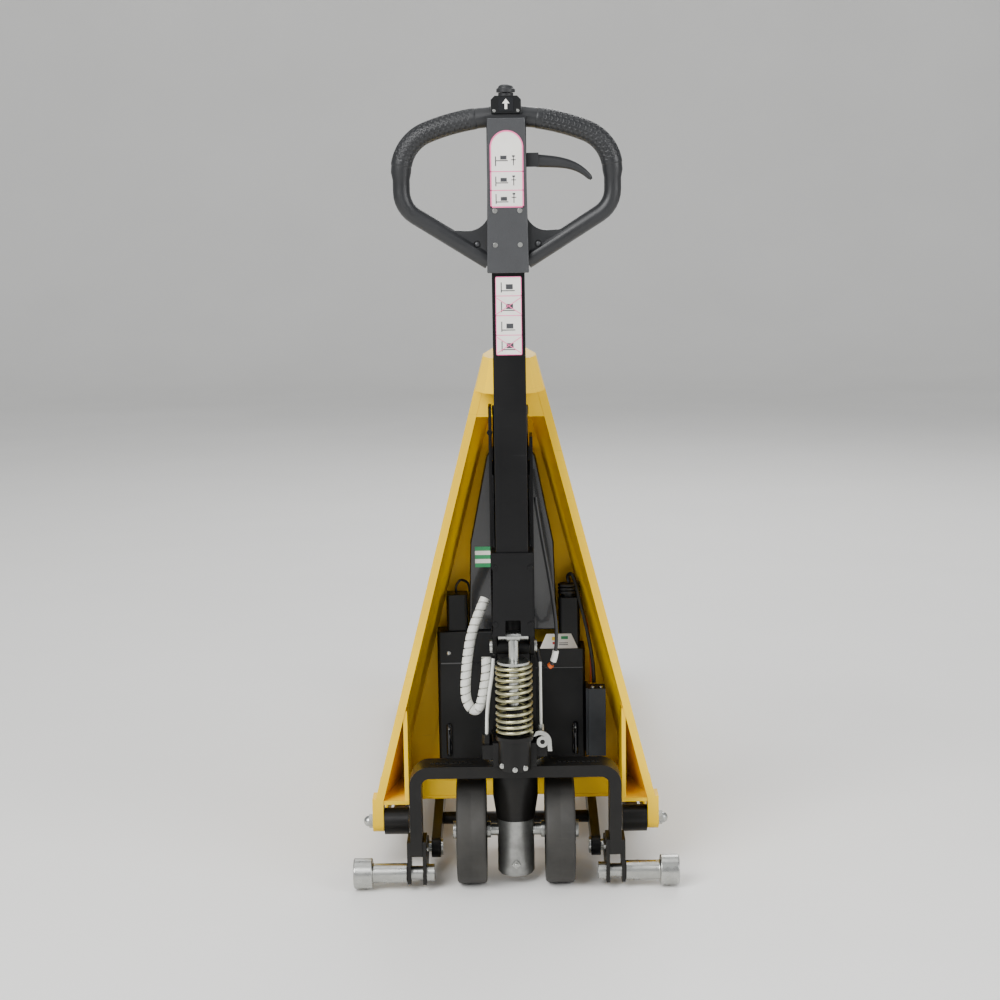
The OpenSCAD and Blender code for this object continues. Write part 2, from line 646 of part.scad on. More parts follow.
// Tube between the inner arms, with the pins at the crossing and the stubs that carry the rollers
module inner_tie_tube() at_axis() color(BLACK) at(pivot_back, low_pivot_z) rotate([rest_angle, 0, 0]) {
    at(140, 0) rod_x(tie_r, -inner_x, inner_x);
    both() {
        at(arm_length / 2, 0) rod_x(12, inner_x + inner_arm_t, outer_x + outer_arm_t + 2);
        at(arm_length / 2, 0) rod_x(18, outer_x + outer_arm_t + gap, outer_x + outer_arm_t + 5);
        at(arm_length, 0) rod_x(6, roller_x - 1, inner_x);
    }
}
module arm_roller() color(STEEL) at(arm_rear_y, high_pivot_z) difference() {
    rod_x(roller_r, roller_x, roller_x + roller_w);
    rod_x(6 + fit, 0, 400);
}
module arm_roller_left() at_axis() side_of(-1) arm_roller();
module arm_roller_right() at_axis() side_of(1) arm_roller();

// Axle across both load wheels, in a tube between them
module load_axle() at_axis() color(STEEL) at(arm_rear_y, low_pivot_z) {
    rod_x(pin_r, -outer_x - outer_arm_t - 2, outer_x + outer_arm_t + 2);
    rod_x(16, -load_x + 2, load_x - 2);
    both() rod_x(pin_r + 4, outer_x + outer_arm_t + gap, outer_x + outer_arm_t + 5);
}
module load_wheel() color("#b5542a") at(arm_rear_y, low_pivot_z) difference() {
    translate([load_x + load_wheel_w / 2, 0, 0]) wheel_tyre(load_wheel_d / 2, load_wheel_w, 1, 3);
    rod_x(pin_r + fit, 0, 400);
}
module load_wheel_left() at_axis() side_of(-1) load_wheel();
module load_wheel_right() at_axis() side_of(1) load_wheel();

// ---- fork frame ----
// Outlines of a side's folded plate at half-width w: its front edge, its web and its back flange
function edge_section(w) = [[w, 0], [w, 8], [w - flange_w, 8], [w - flange_w, 0]];
function web_section(w) = [[w - 4 - plate_t, 6], [w - 3, 6], [w - web_in, frame_depth - 1],
    [w - web_in - plate_t, frame_depth - 1]];
function flange_section(w) = let (b = w - web_in, c = w - web_in - back_flange, d = frame_depth)
    [[b, d - plate_t], [b, d], [c, d], [c, d - plate_t]];

// One side: a folded plate that leans with the frame, a rib, a foot plate and the lug for the arm
module frame_side() color(YELLOW) {
    w0 = half_w(frame_foot);
    w1 = half_w(crown_z);
    difference() {
        translate([0, frame_y, 0]) union() {
            loft(edge_section(w0), edge_section(w1), frame_foot, crown_z);
            loft(web_section(w0), web_section(w1), frame_foot, crown_z);
            loft(flange_section(w0), flange_section(w1), frame_foot, crown_z);
        }
        translate([-100, 0, 0]) cube([100 + gap, 400, 1000]);
    }
    translate([rib_x, frame_y + 1, frame_foot - 6]) cube([w0 - rib_x - 1, frame_depth - 2, 6.5]);
    translate([rib_x, frame_y + 2, frame_foot - 3]) cube([7, frame_depth - 5, rib_top - frame_foot]);
    translate([rib_x, fork_y, fork_top]) cube([7, frame_back - 6 - fork_y, frame_foot - fork_top]);
    difference() {
        plate_yz(lug_x, lug_t) polygon(concat([[frame_y, frame_foot + 4]],
            arc(pivot_back, high_pivot_z, 18, 190, 350), [[pivot_back + 26, frame_foot - 6],
            [pivot_back + 26, frame_foot + 4]]));
        at(pivot_back, high_pivot_z) rod_x(pin_r + fit, 0, 400);
    }
}
module frame_side_left() at_axis() side_of(-1) frame_side();
module frame_side_right() at_axis() side_of(1) frame_side();

// Crown: a folded nose over the ram, flaring downwards
function shrink(p) = [for (q = p) [q[0] * (1 - plate_t / 50), q[1] * (1 - plate_t / 60) + 1]];
module crown() at_axis() color(YELLOW) {
    a = half_w(crown_z);
    b = crown_half;
    low_half = [[24, -52], [42, -40], [a - 2, -6], [a, frame_y], [a - web_in + 4, frame_back]];
    high_half = [[18, -48], [32, -38], [b - 1, -8], [b, frame_y - 8], [b - web_in + 12, frame_back - 16]];
    low = concat(mirrored(low_half), low_half);
    high = concat(mirrored(high_half), high_half);

    difference() {
        loft(low, high, crown_z, frame_top);
        loft(shrink(low), shrink(high), crown_z - 0.01, frame_top - 8);
    }
}

// Plate behind the cylinder, and the seat under the crown that the ram pushes on
module frame_brace() at_axis() color(YELLOW) {
    z1 = brace_z + brace_h;
    plate_xz(frame_y + gap, plate_t) polygon([[-half_w(brace_z) + flange_w, brace_z],
        [half_w(brace_z) - flange_w, brace_z], [half_w(z1) - flange_w, z1], [flange_w - half_w(z1), z1]]);
    translate([-26, -26, frame_top - 16]) cube([52, 60, 8]);
}

module back_panel() at_axis() color(YELLOW) plate_xz(frame_back, panel_t)
    polygon([[-half_w(floor_z) + web_in + 6, floor_z - 8], [half_w(floor_z) - web_in - 6, floor_z - 8],
        [half_w(crown_z) - web_in, crown_z], [web_in - half_w(crown_z), crown_z]]);

module frame_floor() at_axis() color(YELLOW) {
    translate([-rib_x, fork_y, floor_z - 8]) cube([2 * rib_x, frame_back - plate_t - fork_y, 8]);
    translate([-rib_x, fork_y, fork_top]) cube([2 * rib_x, 6, floor_z - 7 - fork_top]);
    both() translate([flange_in - fork_wall, fork_y, fork_top])
        cube([fork_wall, frame_back - fork_y, floor_z - 8 - fork_top]);
}

module lug_bolts() at_axis() color(STEEL) both() at(pivot_back, high_pivot_z) {
    rod_x(pin_r, boss_x, lug_x + lug_t + 1);
    translate([lug_x + lug_t, 0, 0]) rotate([0, 90, 0]) cylinder(r = 12.5, h = 7, $fn = 6);
    translate([lug_x + lug_t + 7, 0, 0]) sphere(r = 9.5);
}

// A channel with a closed, narrowing tip that slopes up underneath
module fork() color(YELLOW) {
    xi = fork_span / 2 - fork_width;
    xo = fork_span / 2;
    y1 = fork_tip - tip_length;
    difference() {
        translate([0, 0, fork_top - fork_depth]) linear_extrude(fork_depth) polygon([[xi, fork_y],
            [xo, fork_y], [xo, y1], [xo - 26, fork_tip - 16], [xo - 40, fork_tip], [xi + 40, fork_tip],
            [xi + 26, fork_tip - 16], [xi, y1]]);
        translate([xi + fork_wall, fork_y - 1, fork_top - fork_depth - 1])
            cube([fork_width - 2 * fork_wall, y1 - fork_y + 1, fork_depth - fork_wall + 1]);
        translate([xi - 1, y1, fork_top - fork_depth]) rotate([17, 0, 0]) translate([0, 0, -60])
            cube([fork_width + 2, 300, 60]);
    }
}
module fork_left() at_axis() side_of(-1) fork();
module fork_right() at_axis() side_of(1) fork();

module ram() at_axis() color(STEEL) translate([0, 0, pump_top + 40])
    cylinder(d = ram_d, h = frame_top - 16 - pump_top - 40);

// A box standing on the frame's floor, with chamfered upright edges
module floor_box(x0, x1, z0, z1, y0, y1) {
    c = 4;
    translate([0, 0, z0]) linear_extrude(z1 - z0) polygon([[x0 + c, y0], [x1 - c, y0], [x1, y0 + c],
        [x1, y1], [x0, y1], [x0, y0 + c]]);
}
module battery_case() at_axis() color(BLACK) {
    floor_box(5, 124, floor_z, 340, box_y, frame_back - 8);
    floor_box(5, 124, 340.5, 373, box_y, frame_back - 8);
    translate([5, box_y + 4, 340]) cube([119, 40, 1]);
}
module power_box() at_axis() color(BLACK) floor_box(-132, 2, floor_z, 406, box_y, frame_back - 22);

// Cover over the pump's motor: it narrows towards its top
module motor_cover() at_axis() color(BLACK) plate_xz(box_y + 8, frame_back - box_y - 16)
    polygon([[-76, 406], [-72, 560], [-42, 712], [-30, 730], [30, 730], [42, 712], [72, 560], [76, 406]]);

module controller() at_axis() color(BLACK) {
    translate([124, box_y - 30, 190]) cube([5, 50, 120]);
    for (i = [0 : 5]) translate([129, box_y - 34 + 6 * i, 190]) cube([29, 3.5, 120]);
    translate([128, box_y - 34, 190]) cube([4, 34, 120]);
}

module terminal_boxes() at_axis() color(BLACK) {
    floor_box(-115, -79, 406, 470, box_y + 6, box_y + 42);
    floor_box(80, 116, 373, 462, box_y + 10, box_y + 44);
    translate([98, box_y + 26, 462]) cylinder(r = 13, h = 22);
}

yoke();
thrust_washer();
clevis_plates();
foot_bars();
base_fasteners();
arm_pivot_pins();
axle_block();
steer_axle();
lower_barrel();
pump_block();
pump_spring();
lift_cylinder();
mast_channel();
pump_bracket();
handle_pin();
hose_sleeve();
hydraulic_lines();
control_cable();
cylinder_sleeve();
steer_tyre_left();
steer_hub_left();
steer_tyre_right();
steer_hub_right();
handle_base();
handle_shaft();
handle_loop();
head_cover();
handle_screws();
switch_box();
labels();
lever_mount();
lift_button();
release_lever();
pump_piston();
valve_lever();
inner_arm_left();
inner_arm_right();
inner_tie_tube();
arm_roller_left();
arm_roller_right();
outer_arm_left();
outer_arm_right();
load_axle();
load_wheel_left();
load_wheel_right();
frame_side_left();
frame_side_right();
crown();
frame_brace();
back_panel();
frame_floor();
lug_bolts();
fork_left();
fork_right();
ram();
battery_case();
power_box();
motor_cover();
controller();
terminal_boxes();
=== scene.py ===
import bpy, bmesh, json, math
import numpy as np
from mathutils import Matrix, Vector


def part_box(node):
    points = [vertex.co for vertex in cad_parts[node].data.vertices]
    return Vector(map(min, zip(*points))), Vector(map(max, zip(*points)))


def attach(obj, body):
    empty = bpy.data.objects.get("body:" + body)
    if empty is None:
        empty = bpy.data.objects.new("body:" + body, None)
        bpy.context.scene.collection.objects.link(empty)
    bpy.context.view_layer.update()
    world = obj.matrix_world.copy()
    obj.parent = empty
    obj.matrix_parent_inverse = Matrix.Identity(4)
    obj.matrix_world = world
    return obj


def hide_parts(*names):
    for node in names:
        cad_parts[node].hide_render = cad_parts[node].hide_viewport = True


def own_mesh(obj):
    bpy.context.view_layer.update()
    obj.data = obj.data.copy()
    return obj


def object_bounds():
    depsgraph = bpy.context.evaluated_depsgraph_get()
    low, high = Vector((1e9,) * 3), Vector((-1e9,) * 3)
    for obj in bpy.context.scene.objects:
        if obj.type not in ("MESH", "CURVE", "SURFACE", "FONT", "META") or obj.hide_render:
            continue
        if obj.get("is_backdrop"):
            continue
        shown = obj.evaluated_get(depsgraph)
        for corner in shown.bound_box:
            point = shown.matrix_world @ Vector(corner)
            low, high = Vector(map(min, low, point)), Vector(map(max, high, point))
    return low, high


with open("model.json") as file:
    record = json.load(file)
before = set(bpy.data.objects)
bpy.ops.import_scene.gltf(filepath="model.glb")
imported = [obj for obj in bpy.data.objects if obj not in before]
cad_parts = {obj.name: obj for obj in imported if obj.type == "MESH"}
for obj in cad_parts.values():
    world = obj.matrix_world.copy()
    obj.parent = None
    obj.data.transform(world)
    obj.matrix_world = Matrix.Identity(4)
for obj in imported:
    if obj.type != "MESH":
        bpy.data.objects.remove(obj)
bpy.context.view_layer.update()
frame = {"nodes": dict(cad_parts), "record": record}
print("stage: frame loaded")

behaviour = frame["record"]["behaviour"]
bodyOf = {node: body for body, nodes in behaviour["bodies"].items() for node in nodes}
axisY = [j for j in behaviour["joints"] if j["name"] == "steering"][0]["pos_m"][1]     # where the steering axis stands
tau = 2 * math.pi

# Camera: in front of the steering axis, pitched down and rolled a little
view = {"height": 1.25, "distance": 3.5, "pitchDeg": 9.73, "rollDeg": -0.8, "lensMm": 77.2, "sensorMm": 36,
        "shift": (-0.0114, 0.0044), "clipEnd": 60}
pitch, roll = math.radians(view["pitchDeg"]), math.radians(view["rollDeg"])
ahead = Vector((0, math.cos(pitch), -math.sin(pitch)))
side, up = Vector((1, 0, 0)), Vector((0, math.sin(pitch), math.cos(pitch)))
right = side * math.cos(roll) + up * math.sin(roll)
upward = up * math.cos(roll) - side * math.sin(roll)
camera = bpy.data.objects.new("camera", bpy.data.cameras.new("camera"))
bpy.context.scene.collection.objects.link(camera)
turn = Matrix((right, upward, -ahead)).transposed().to_4x4()
camera.matrix_world = Matrix.Translation((0, axisY - view["distance"], view["height"])) @ turn
camera.data.lens, camera.data.sensor_width = view["lensMm"], view["sensorMm"]
camera.data.shift_x, camera.data.shift_y = view["shift"]
camera.data.clip_end = view["clipEnd"]
bpy.context.scene.camera = camera

# Soft sky, and four area lamps (place, width in metres, watts) that all aim at the truck's middle
sky = {"colour": (0.95, 0.97, 1.0, 1), "strength": 0.5}
world = bpy.data.worlds.new("softSky")
world.use_nodes = True
world.node_tree.nodes["Background"].inputs[0].default_value = sky["colour"]
world.node_tree.nodes["Background"].inputs[1].default_value = sky["strength"]
bpy.context.scene.world = world
aim = Vector((0, -0.2, 0.5))
lamps = {"key": ((-2.4, -4.0, 3.4), 3.0, 330), "fill": ((3.2, -3.0, 2.0), 2.4, 110),
         "back": ((0.8, 3.2, 3.2), 2.6, 90), "top": ((0, -0.6, 4.2), 2.4, 30)}
for name, (place, size, watts) in lamps.items():
    lamp = bpy.data.lights.new(name, "AREA")
    lamp.size, lamp.energy = size, watts
    obj = bpy.data.objects.new(name, lamp)
    obj.location = place
    obj.rotation_euler = (aim - Vector(place)).to_track_quat("-Z", "Y").to_euler()
    bpy.context.scene.collection.objects.link(obj)

print("stage: camera and light")

# sRGB hex to linear colour: a value up to 0.04045 over 12.92, a higher one as ((c + 0.055) / 1.055) to the power 2.4
def linear(hexText):
    c = np.array([int(hexText[i:i + 2], 16) / 255 for i in (1, 3, 5)])
    c = np.where(c <= 0.04045, c / 12.92, ((c + 0.055) / 1.055) ** 2.4)
    return (*c.tolist(), 1.0)

# One node: inputs are numbers to set or sockets to link from, settings are the node's own properties
def addNode(tree, kind, inputs, **settings):
    n = tree.nodes.new(kind)
    for key, value in settings.items():
        setattr(n, key, value)
    for key, value in inputs.items():
        if isinstance(value, bpy.types.NodeSocket):
            tree.links.new(value, n.inputs[key])
        else:
            n.inputs[key].default_value = value
    return n

wear = {"dustShade": "#8d877b", "dustTop": 0.45, "dustScale": 22.0,
        "scuffStretch": (6, 6, 130), "scuffTurn": (0.5, 0.3, 0), "scuffScale": 2.2, "scuffFrom": 0.68, "scuffTo": 0.74}

# One finish: colour drifts between two shades in patches patchMm wide, a grain grainMm wide makes the relief,
# marks are thin lighter scuffs, and dust gathers in soft patches, most at the floor and none above dustTop.
# Real grains are 0.05 to 0.5 mm, too fine to show, so each grainMm is a few times coarser than that
def makeFinish(name, shade, shade2, rough, metal=0.0, patchMm=90, grainMm=1.5, relief=0.1, stretch=(1, 1, 1),
               marks=0.0, markShade="#8a8a86", dust=0.0, coat=0.0, roughSpread=0.08, cells=False, gloss=0.5):
    mat = bpy.data.materials.new(name)
    mat.use_nodes = True
    tree = mat.node_tree
    bsdf = tree.nodes["Principled BSDF"]
    place = addNode(tree, "ShaderNodeTexCoord", {}).outputs["Object"]
    drawn = addNode(tree, "ShaderNodeMapping", {"Vector": place, "Scale": stretch}).outputs[0]
    patch = addNode(tree, "ShaderNodeTexNoise", {"Vector": place, "Scale": 1000 / patchMm, "Detail": 4.0})
    ramp = addNode(tree, "ShaderNodeMapRange", {"Value": patch.outputs[0], 1: 0.3, 2: 0.7})
    colour = addNode(tree, "ShaderNodeMix", {0: ramp.outputs[0], 6: linear(shade), 7: linear(shade2)},
                     data_type="RGBA").outputs[2]
    if marks:
        lines = addNode(tree, "ShaderNodeMapping", {"Vector": place, "Scale": wear["scuffStretch"],
                                                   "Rotation": wear["scuffTurn"]}).outputs[0]
        scuff = addNode(tree, "ShaderNodeTexNoise", {"Vector": lines, "Scale": wear["scuffScale"], "Detail": 3.0})
        cut = addNode(tree, "ShaderNodeMapRange", {"Value": scuff.outputs[0], 1: wear["scuffFrom"],
                                                   2: wear["scuffTo"], 4: marks})
        colour = addNode(tree, "ShaderNodeMix", {0: cut.outputs[0], 6: colour, 7: linear(markShade)},
                         data_type="RGBA").outputs[2]
    if dust:
        heights = addNode(tree, "ShaderNodeSeparateXYZ", {"Vector": place})
        low = addNode(tree, "ShaderNodeMapRange", {"Value": heights.outputs[2], 1: wear["dustTop"], 2: 0.0, 4: dust})
        soft = addNode(tree, "ShaderNodeTexNoise", {"Vector": place, "Scale": wear["dustScale"], "Detail": 5.0})
        much = addNode(tree, "ShaderNodeMath", {0: low.outputs[0], 1: soft.outputs[0]}, operation="MULTIPLY")
        colour = addNode(tree, "ShaderNodeMix", {0: much.outputs[0], 6: colour, 7: linear(wear["dustShade"])},
                         data_type="RGBA").outputs[2]
    kind = "ShaderNodeTexVoronoi" if cells else "ShaderNodeTexNoise"
    grain = addNode(tree, kind, {"Vector": drawn, "Scale": 1000 / grainMm})
    bump = addNode(tree, "ShaderNodeBump", {"Height": grain.outputs[0], "Strength": relief,
                                            "Distance": grainMm / 4000})
    shine = addNode(tree, "ShaderNodeMapRange", {"Value": patch.outputs[0], 1: 0.3, 2: 0.7,
                                                 3: rough - roughSpread, 4: rough + roughSpread})
    tree.links.new(colour, bsdf.inputs["Base Color"])
    tree.links.new(shine.outputs[0], bsdf.inputs["Roughness"])
    tree.links.new(bump.outputs[0], bsdf.inputs["Normal"])
    bsdf.inputs["Metallic"].default_value = metal
    bsdf.inputs["Coat Weight"].default_value = coat
    bsdf.inputs["Specular IOR Level"].default_value = gloss
    return mat

finishes = {
    # gloss polyester powder coat, oven cured: warm yellow with a slight orange peel and faint scuffs
    "yellowPowderCoat": dict(shade="#ffd205", shade2="#f7c602", rough=0.38, patchMm=160, grainMm=2.2, relief=0.12,
                             marks=0.25, markShade="#c29a22", dust=0.06, gloss=0.2),
    # satin epoxy powder coat: near black, a fine pebble that breaks up the highlights
    "blackPowderCoat": dict(shade="#070708", shade2="#0b0b0c", rough=0.38, patchMm=120, grainMm=1.6, relief=0.22,
                            marks=0.2, markShade="#2c2d2e", dust=0.06, gloss=0.22),
    # injection-moulded polyamide: charcoal with a spark-eroded grain
    "mouldedPolyamide": dict(shade="#17181a", shade2="#1e1f21", rough=0.42, patchMm=60, grainMm=0.9, relief=0.35,
                             cells=True, gloss=0.45),
    # moulded ABS covers: dark grey, smoother than the loop
    "mouldedAbs": dict(shade="#08090a", shade2="#0d0e0f", rough=0.4, patchMm=110, grainMm=0.8, relief=0.2,
                       marks=0.12, markShade="#2b2c2d", dust=0.06, gloss=0.3),
    # moulded ABS front cover: lighter grey with a coarse sparkle
    "greyAbs": dict(shade="#3a3b3d", shade2="#2f3032", rough=0.38, patchMm=40, grainMm=1.3, relief=0.5, cells=True),
    # ABS from a polished mould: nearly black, with soft mirror highlights
    "glossAbs": dict(shade="#101113", shade2="#16171a", rough=0.16, patchMm=140, grainMm=3, relief=0.04, coat=0.4),
    # bright zinc plating over turned steel: pale with fine rings
    "zincPlatedSteel": dict(shade="#b9bab6", shade2="#a9aaa6", rough=0.3, metal=1.0, patchMm=14, grainMm=1.2,
                            relief=0.1, stretch=(3, 0.4, 0.4), dust=0.15),
    # passivated spring wire: a yellow cast over grey
    "passivatedSpringSteel": dict(shade="#b9b48a", shade2="#a5a590", rough=0.32, metal=1.0, patchMm=16, grainMm=1,
                                  relief=0.1),
    # sand-cast steel: dull silver with a coarse skin
    "castSteel": dict(shade="#a7a8a6", shade2="#868785", rough=0.42, metal=0.85, patchMm=20, grainMm=1.6, relief=0.6,
                      dust=0.25),
    # hard chrome on a ground rod: mirror bright
    "hardChrome": dict(shade="#d6d8da", shade2="#cdd0d3", rough=0.09, metal=1.0, patchMm=40, grainMm=0.8, relief=0.02,
                       roughSpread=0.02),
    # press-cured solid rubber: matt black, greyed by floor dust
    "curedRubber": dict(shade="#0d0d0d", shade2="#131312", rough=0.66, patchMm=30, grainMm=1.4, relief=0.35, marks=0.3,
                        markShade="#35342f", dust=0.16),
    # cast polyurethane tread: brown-orange, slightly waxy
    "castPolyurethane": dict(shade="#9c4a22", shade2="#8a3f1d", rough=0.38, patchMm=30, grainMm=1.2, relief=0.1,
                             dust=0.5),
    # extruded polyethylene wrap: white, waxy
    "whitePolyethylene": dict(shade="#dcdcd6", shade2="#cbcbc4", rough=0.42, patchMm=25, grainMm=0.8, relief=0.1),
    # extruded PVC sheath: soft black
    "pvcSheath": dict(shade="#161617", shade2="#1d1d1f", rough=0.42, patchMm=20, grainMm=0.7, relief=0.15),
    # the same sheath with an orange pigment
    "orangePvc": dict(shade="#c2571d", shade2="#a84716", rough=0.42, patchMm=20, grainMm=0.7, relief=0.1),
    # calendered vinyl film: flat white with a slight gloss
    "whiteVinyl": dict(shade="#e6e4df", shade2="#dcd9d2", rough=0.34, patchMm=30, grainMm=1.2, relief=0.05, dust=0.1),
    # screen-printed solvent inks: thin, even and nearly matt
    "pinkInk": dict(shade="#ef6fa3", shade2="#e9659a", rough=0.38, patchMm=20, grainMm=1, relief=0.03),
    "greyInk": dict(shade="#3a3b3e", shade2="#303134", rough=0.4, patchMm=20, grainMm=1, relief=0.03),
    "greenInk": dict(shade="#2d8f5a", shade2="#27804f", rough=0.35, patchMm=20, grainMm=1, relief=0.03),
    "yellowInk": dict(shade="#e6c43a", shade2="#dab92f", rough=0.35, patchMm=20, grainMm=1, relief=0.03),
    "redInk": dict(shade="#b8322c", shade2="#a92a25", rough=0.35, patchMm=20, grainMm=1, relief=0.03),
    # die-cast aluminium, black anodised: dark with a dry sheen
    "anodisedAluminium": dict(shade="#26282a", shade2="#303235", rough=0.36, metal=0.6, patchMm=30, grainMm=1,
                              relief=0.15),
    # sealed concrete: pale and even
    "paleFloor": dict(shade="#efeeeb", shade2="#eae9e6", rough=0.62, patchMm=700, grainMm=6, relief=0.05),
}
mats = {name: makeFinish(name, **spec) for name, spec in finishes.items()}
print("stage: materials")

# How far two faces may turn before the edge between them is sharp
sharpDeg = {"round": 38, "flat": 5, "solid": 34}

# One piece from its points and faces, smooth apart from its sharp edges, riding on a body
def newPiece(name, verts, faces, finish, body, smooth=True):
    mesh = bpy.data.meshes.new(name)
    mesh.from_pydata(np.asarray(verts, float).tolist(), [], [list(map(int, f)) for f in faces])
    mesh.polygons.foreach_set("use_smooth", np.ones(len(mesh.polygons), bool))
    bm = bmesh.new()
    bm.from_mesh(mesh)
    bmesh.ops.recalc_face_normals(bm, faces=bm.faces)
    bm.to_mesh(mesh)
    bm.free()
    mesh.set_sharp_from_angle(angle=math.radians(sharpDeg["round" if smooth else "flat"]))
    obj = bpy.data.objects.new(name, mesh)
    bpy.context.scene.collection.objects.link(obj)
    mesh.materials.append(mats[finish])
    if body:
        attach(obj, body)
    return obj

# A grid of points (rows, columns, 3) whose columns close on themselves, with flat caps on both end rows
def gridFaces(rows, cols, first=0):
    i, k = np.meshgrid(np.arange(rows - 1), np.arange(cols), indexing="ij")
    m = (k + 1) % cols
    quads = np.stack([i * cols + k, i * cols + m, (i + 1) * cols + m, (i + 1) * cols + k], -1).reshape(-1, 4)
    faces = (quads + first).tolist()
    faces.append((np.arange(cols)[::-1] + first).tolist())
    faces.append((np.arange(cols) + (rows - 1) * cols + first).tolist())
    return faces

# A tube: rings of given radius stand square to a path, in a frame carried along without twist
def tube(path, radius, sides=16):
    path = np.asarray(path, float)
    d = np.gradient(path, axis=0)
    d /= np.linalg.norm(d, axis=1)[:, None]
    u = np.cross(d[0], (0.31, 0.17, 0.93))
    us = []
    for t in d:
        u = u - t * np.dot(u, t)
        u = u / np.linalg.norm(u)
        us.append(u)
    us = np.array(us)
    vs = np.cross(d, us)
    a = np.arange(sides) * tau / sides
    r = np.broadcast_to(np.asarray(radius, float).reshape(-1, 1) if np.ndim(radius) == 1 else radius,
                        (len(path), sides))
    ringwise = np.cos(a)[None, :, None] * us[:, None] + np.sin(a)[None, :, None] * vs[:, None]
    rings = path[:, None] + r[..., None] * ringwise
    return rings.reshape(-1, 3), gridFaces(len(path), sides)

# A smooth curve through a few points: a cubic with each tangent taken from its neighbours
def curveThrough(points, count):
    p = np.asarray(points, float)
    n = len(p) - 1
    x = np.linspace(0, n, count)
    i = np.clip(x.astype(int), 0, n - 1)
    t = (x - i)[:, None]
    a, b, c, d = p[np.maximum(i - 1, 0)], p[i], p[i + 1], p[np.minimum(i + 2, n)]
    return 0.5 * (2 * b + (c - a) * t + (2 * a - 5 * b + 4 * c - d) * t ** 2 + (3 * b - a - 3 * c + d) * t ** 3)

# A turned shape: (distance along the axis, radius) pairs spun round X, Y or Z through a centre
def turned(profile, axis, centre, sides=64):
    prof = np.asarray(profile, float)
    a = np.arange(sides) * tau / sides
    along = np.repeat(prof[:, 0][:, None], sides, 1)
    p, q = prof[:, 1][:, None] * np.cos(a), prof[:, 1][:, None] * np.sin(a)
    order = {"x": (along, p, q), "y": (q, along, p), "z": (p, q, along)}[axis]
    return np.stack(order, -1).reshape(-1, 3) + np.asarray(centre), gridFaces(len(prof), sides)

# A flat outline in X and Z, given a thickness along Y
def slab(outline, y0, y1):
    o = np.asarray(outline, float)
    rows = [np.stack([o[:, 0], np.full(len(o), y), o[:, 1]], -1) for y in (y0, y1)]
    return np.concatenate(rows), gridFaces(2, len(o))

# Corners of a rectangle in X and Z
def rect(x0, z0, x1, z1):
    return [(x0, z0), (x1, z0), (x1, z1), (x0, z1)]

# Several shapes as one: points one after another, each shape's face numbers moved on by the points before it
def joined(shapes):
    verts, faces, first = [], [], 0
    for v, f in shapes:
        verts.append(np.asarray(v, float))
        faces += [[k + first for k in face] for face in f]
        first += len(v)
    return np.concatenate(verts), faces

mending = {"joinM": 2e-5, "flatDeg": 0.6, "bevelSteps": 3}

# A CAD node's copy with its corners joined, flat faces merged and every sharp edge rounded
def softened(node, finish, edgeMm):
    source = frame["nodes"][node]
    mesh = source.data.copy()
    bm = bmesh.new()
    bm.from_mesh(mesh)
    bmesh.ops.remove_doubles(bm, verts=bm.verts, dist=mending["joinM"])
    bmesh.ops.dissolve_limit(bm, angle_limit=math.radians(mending["flatDeg"]), verts=bm.verts, edges=bm.edges)
    bm.to_mesh(mesh)
    bm.free()
    mesh.polygons.foreach_set("use_smooth", np.ones(len(mesh.polygons), bool))
    mesh.set_sharp_from_angle(angle=math.radians(sharpDeg["solid"]))
    mesh.materials.clear()
    mesh.materials.append(mats[finish])
    parts = node.split("_")
    obj = bpy.data.objects.new(parts[0] + "".join(p.capitalize() for p in parts[1:]) + "Finished", mesh)
    bpy.context.scene.collection.objects.link(obj)
    if edgeMm:
        bevel = obj.modifiers.new("edges", "BEVEL")
        bevel.width, bevel.segments = edgeMm / 1000, mending["bevelSteps"]
        bevel.limit_method, bevel.angle_limit = "ANGLE", math.radians(sharpDeg["solid"])
        bevel.harden_normals = True
    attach(obj, bodyOf[node])
    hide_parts(node)
    return obj

# Which finish each CAD solid wears, and how far its edges are rounded in millimetres
dressed = {
    "yellowPowderCoat": dict(frame_side_left=1, frame_side_right=1, crown=2, frame_brace=1, back_panel=1,
                             frame_floor=1, fork_left=2, fork_right=2),
    "blackPowderCoat": dict(yoke=2.5, clevis_plates=0.8, lower_barrel=1, pump_block=1, lift_cylinder=0.8,
                            mast_channel=0.8, pump_bracket=0.8, steer_hub_left=0.8, steer_hub_right=0.8,
                            handle_base=1.2, handle_shaft=2.5, inner_arm_left=1, inner_arm_right=1,
                            outer_arm_left=1, outer_arm_right=1, inner_tie_tube=0.5),
    "mouldedPolyamide": dict(handle_loop=1.2, lever_mount=0.8),
    "greyAbs": dict(head_cover=1.8),
    "mouldedAbs": dict(switch_box=1.6, battery_case=2.5, power_box=2.5, terminal_boxes=1.5),
    "glossAbs": dict(motor_cover=3),
    "zincPlatedSteel": dict(thrust_washer=0.4, foot_bars=2.5, base_fasteners=0.4, arm_pivot_pins=0.6, steer_axle=0.8,
                            handle_pin=0.6, handle_screws=0.3, pump_piston=0.6, valve_lever=0.6, load_axle=0.6,
                            lug_bolts=0.6, arm_roller_left=0.5, arm_roller_right=0.5, cylinder_sleeve=0.5),
    "castSteel": dict(axle_block=1.5), "hardChrome": dict(ram=0.5), "anodisedAluminium": dict(controller=0.5),
    "whiteVinyl": dict(labels=0), "castPolyurethane": dict(load_wheel_left=0.5, load_wheel_right=0.5),
}
for finish, solids in dressed.items():
    for node, edge in solids.items():
        softened(node, finish, edge)
print("stage: CAD solids finished")

